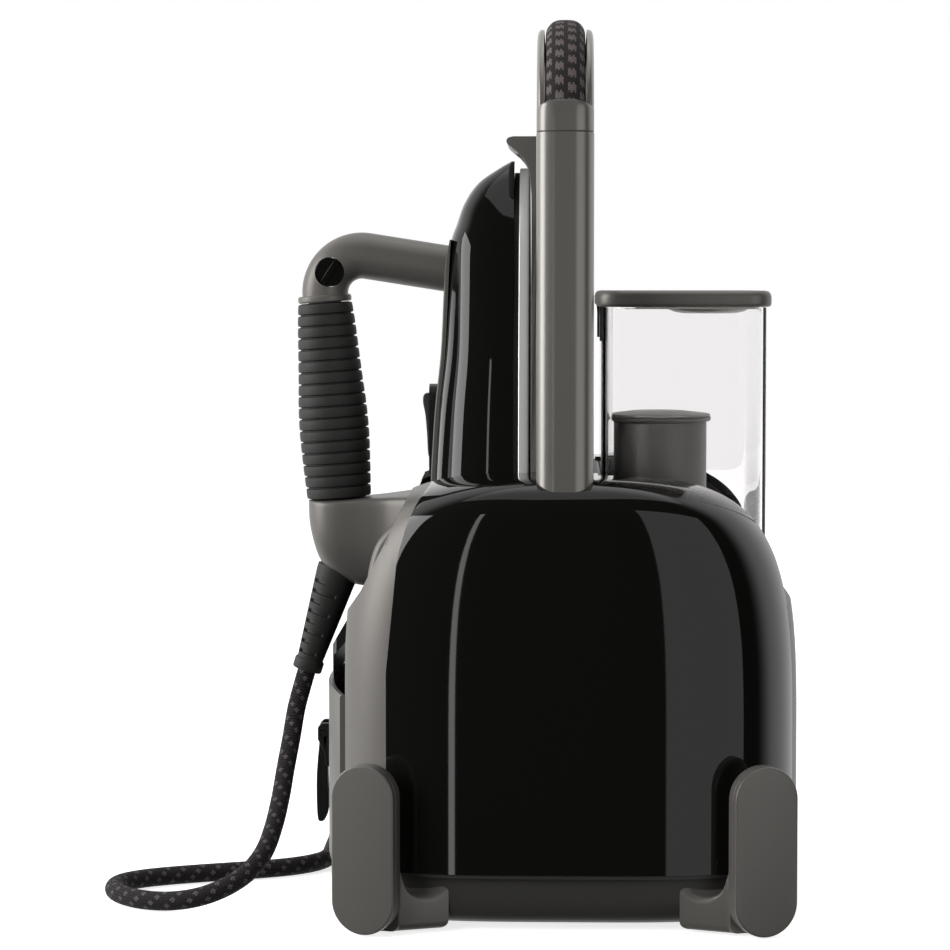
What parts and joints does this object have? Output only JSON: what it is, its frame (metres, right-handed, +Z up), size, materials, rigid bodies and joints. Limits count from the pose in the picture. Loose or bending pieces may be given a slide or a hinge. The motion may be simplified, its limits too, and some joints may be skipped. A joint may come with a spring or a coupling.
{
  "type": "steam generator ironing station",
  "caption": "Compact steam station with an upright docked iron, clear lift-out water tank, carry arch, cord posts and braided steam hose.",
  "frame": {"origin": "on the floor under the centre of the object's bounding box, hose left out", "axes": "+Z up; the iron docks at the -X end and the water tank is at the +X end; Y runs across, from leg to leg of the carry arch, and -Y is the side facing the picture's viewer"},
  "size_m": [0.3433, 0.3973, 0.417],
  "materials": {
    "dark_plastic": "satin",
    "black_plastic": "satin",
    "satin_grey": "satin, metallic paint",
    "gloss_black": "high gloss",
    "arch_metal": "satin lacquer",
    "grip_textile": "woven, with light flecks",
    "hose_textile": "braided, with light flecks",
    "rubber": "matt",
    "silicone": "matt",
    "steel": "brushed",
    "aluminium": "polished",
    "brass": "cast and machined",
    "board": "solder mask",
    "clear_tank": "clear moulded plastic"
  },
  "bodies": {
    "station": {"base_pan": "dark_plastic", "rubber_feet": "rubber", "base_screws": "steel", "foot_post_front_near": "satin_grey", "foot_post_front_far": "satin_grey", "foot_post_rear_near": "satin_grey", "foot_post_rear_far": "satin_grey", "foot_cover_front_near": "satin_grey", "foot_cover_front_far": "satin_grey", "foot_cover_rear_near": "satin_grey", "foot_cover_rear_far": "satin_grey", "shell_near": "gloss_black", "shell_far": "gloss_black", "top_bridge": "dark_plastic", "front_cover": "satin_grey", "front_frame": "black_plastic", "dock_tray": "black_plastic", "cradle_liner": "satin_grey", "rear_cover": "black_plastic", "tank_seat": "black_plastic", "front_corners": "satin_grey", "arch_leg_near": "arch_metal", "arch_leg_far": "arch_metal", "arch_collars": "arch_metal", "arch_core": "grip_textile", "arch_cheeks": "arch_metal", "nose_guard": "satin_grey", "boiler": "steel", "heating_element": "steel", "pump": "dark_plastic", "solenoid_valve": "brass", "control_board": "board", "steam_pipe": "silicone", "clip_bracket": "black_plastic", "hose_outlet": "black_plastic", "mains_gland": "black_plastic", "hose_lead": "hose_textile", "hose_coil": "hose_textile", "hose_run": "hose_textile"},
    "iron": {"soleplate": "aluminium", "sole_insulator": "black_plastic", "steam_chamber": "aluminium", "iron_shell": "gloss_black", "spine_cover": "satin_grey", "handle_tube": "satin_grey", "handle_caps": "gloss_black", "grip_sleeve": "rubber", "handle_base": "satin_grey", "hose_boot": "rubber", "trigger_bezel": "black_plastic"},
    "steam_trigger": {"steam_trigger": "dark_plastic"},
    "tank": {"tank_shell": "clear_tank", "tank_valve": "black_plastic", "filter_cartridge": "dark_plastic", "cartridge_cap": "satin_grey", "lid_bracket": "black_plastic"},
    "tank_lid": {"tank_lid": "satin_grey"},
    "clip_lever": {"clip_lever": "black_plastic"},
    "power_button": {"power_button": "dark_plastic"},
    "rinse_cap": {"rinse_cap": "dark_plastic"}
  },
  "joints": [
    {"name": "iron_undock", "type": "slide", "parent": "station", "child": "iron", "axis": [-0.9397, 0, 0.342], "range_m": [0, 0.12]},
    {"name": "steam_trigger_press", "type": "hinge", "parent": "iron", "child": "steam_trigger", "pos_m": [-0.0545, 0, 0.222], "axis": [0, 1, 0], "range_deg": [0, 8], "stiffness_Nm_per_rad": 0.4, "springref_deg": -11.46},
    {"name": "tank_lift", "type": "slide", "parent": "station", "child": "tank", "axis": [0, 0, 1], "range_m": [0, 0.13]},
    {"name": "lid_hinge", "type": "hinge", "parent": "tank", "child": "tank_lid", "pos_m": [0.0288, 0, 0.2878], "axis": [0, -1, 0], "range_deg": [0, 90]},
    {"name": "clip_hinge", "type": "hinge", "parent": "station", "child": "clip_lever", "pos_m": [-0.1086, 0, 0.0745], "axis": [0, 1, 0], "range_deg": [0, 60]},
    {"name": "power_button_press", "type": "slide", "parent": "station", "child": "power_button", "axis": [-1, 0, 0], "range_m": [0, 0.002], "stiffness_N_per_m": 600, "springref_m": -0.002},
    {"name": "rinse_cap_turn", "type": "hinge", "parent": "station", "child": "rinse_cap", "pos_m": [0.117, 0.04, 0.06], "axis": [1, 0, 0], "range_deg": [0, 90]}
  ]
}
